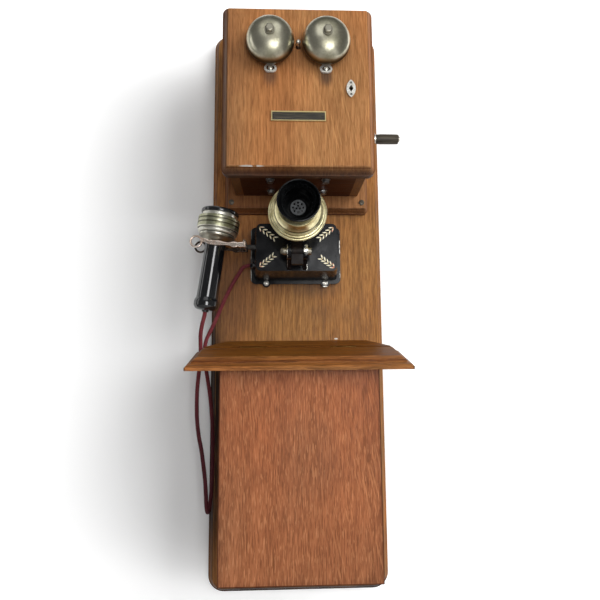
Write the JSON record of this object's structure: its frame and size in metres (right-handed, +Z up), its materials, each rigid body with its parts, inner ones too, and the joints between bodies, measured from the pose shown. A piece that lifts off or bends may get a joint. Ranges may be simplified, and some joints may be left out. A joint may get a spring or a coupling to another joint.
{
  "type": "wall telephone",
  "caption": "Magneto wall telephone: oak board with bell and generator box, cast-iron transmitter base with receiver on a switch hook, and battery box under a sloping shelf.",
  "frame": {"origin": "middle of the four wall screw holes on the back of the board", "axes": "+X to the viewer's right, -Y out of the wall towards the viewer, +Z up"},
  "size_m": [0.2906, 0.184, 0.832],
  "materials": {
    "oak": "aged satin varnish",
    "oak_red": "aged satin varnish",
    "nickel": "worn nickel plate",
    "brass": "aged",
    "steel": "dull",
    "black_iron": "black japan",
    "grey_iron": "rough",
    "magnet_red": "enamel",
    "ebonite": "polished",
    "handle_wood": "dark polish",
    "winding": "silk wrapped",
    "cord": "braided",
    "card": "paper wrapper"
  },
  "bodies": {
    "case": {"backboard": "oak", "magneto_back_panel": "oak", "magneto_left_side": "oak", "magneto_right_side": "oak", "magneto_top": "oak", "magneto_bottom": "oak", "case_screws": "nickel", "hinge_case_leaves": "brass", "hinge_pins": "steel", "generator_frame": "brass", "generator_poles": "grey_iron", "generator_magnets": "magnet_red", "generator_bolts": "steel", "crank_bush": "brass", "transmitter_base": "black_iron", "transmitter_pivot_bolt": "nickel", "induction_coil": "winding", "hook_contact_springs": "brass", "hook_pivot_stud": "steel", "cord_gland": "ebonite", "battery_left_side": "oak_red", "battery_right_side": "oak_red", "battery_bottom": "oak_red", "battery_front_panel": "oak_red", "shelf_rear_strip": "oak", "dry_cells": "card", "receiver_cord": "cord"},
    "bell_door": {"bell_door": "oak", "door_hinge_leaves": "brass", "keyhole_escutcheon": "nickel", "door_lock": "brass", "nameplate": "brass", "gong_brackets": "nickel", "left_gong": "nickel", "right_gong": "nickel", "bell_screws": "nickel", "ringer_frame": "steel", "ringer_coils": "winding", "ringer_magnet": "magnet_red"},
    "lock_bolt": {"lock_bolt": "brass"},
    "clapper": {"clapper": "steel"},
    "crank": {"crank_shaft": "steel", "drive_gear": "brass", "crank_arm": "nickel"},
    "crank_handle": {"crank_handle": "handle_wood"},
    "armature": {"generator_armature": "steel", "armature_pinion": "steel"},
    "transmitter": {"transmitter_arm": "black_iron", "transmitter_cup": "brass", "transmitter_face": "brass", "mouthpiece": "ebonite", "transmitter_diaphragm": "steel"},
    "hook": {"hook_lever": "nickel"},
    "receiver": {"receiver_handle": "ebonite", "receiver_cup": "nickel", "receiver_cap": "ebonite", "receiver_diaphragm": "steel", "receiver_magnet": "steel"},
    "shelf_lid": {"shelf_lid": "oak", "lid_hinge_leaves": "brass"}
  },
  "joints": [
    {"name": "door_hinge", "type": "hinge", "parent": "case", "child": "bell_door", "pos_m": [-0.0936, -0.1183, 0.257], "axis": [0, 0, -1], "range_deg": [0, 110]},
    {"name": "lock_slide", "type": "slide", "parent": "bell_door", "child": "lock_bolt", "axis": [1, 0, 0], "range_m": [0, 0.006]},
    {"name": "clapper_swing", "type": "hinge", "parent": "bell_door", "child": "clapper", "pos_m": [0, -0.1027, 0.29], "axis": [0, 1, 0], "range_deg": [-4.5, 4.5]},
    {"name": "crank_turn", "type": "hinge", "parent": "case", "child": "crank", "pos_m": [0, -0.08, 0.2545], "axis": [1, 0, 0], "continuous": true},
    {"name": "crank_handle_turn", "type": "hinge", "parent": "crank", "child": "crank_handle", "pos_m": [0.12, -0.08, 0.2145], "axis": [1, 0, 0], "continuous": true},
    {"name": "armature_turn", "type": "hinge", "parent": "case", "child": "armature", "pos_m": [0, -0.08, 0.217], "axis": [1, 0, 0], "continuous": true},
    {"name": "transmitter_tilt", "type": "hinge", "parent": "case", "child": "transmitter", "pos_m": [-0.002, -0.105, 0.048], "axis": [-1, 0, 0], "range_deg": [-25, 20]},
    {"name": "receiver_lift", "type": "slide", "parent": "case", "child": "receiver", "axis": [-0.8, 0, 0.6], "range_m": [0, 0.06]},
    {"name": "hook_rise", "type": "hinge", "parent": "case", "child": "hook", "pos_m": [-0.035, -0.0568, 0.064], "axis": [0, 1, 0], "range_deg": [0, 12]},
    {"name": "lid_hinge", "type": "hinge", "parent": "case", "child": "shelf_lid", "pos_m": [0, -0.05745, -0.0785], "axis": [-1, 0, 0], "range_deg": [0, 65]}
  ],
  "couplings": [
    {"joint": "armature_turn", "follows": "crank_turn", "ratio": -4},
    {"joint": "hook_rise", "follows": "receiver_lift", "rad_per_m": 3.48}
  ]
}
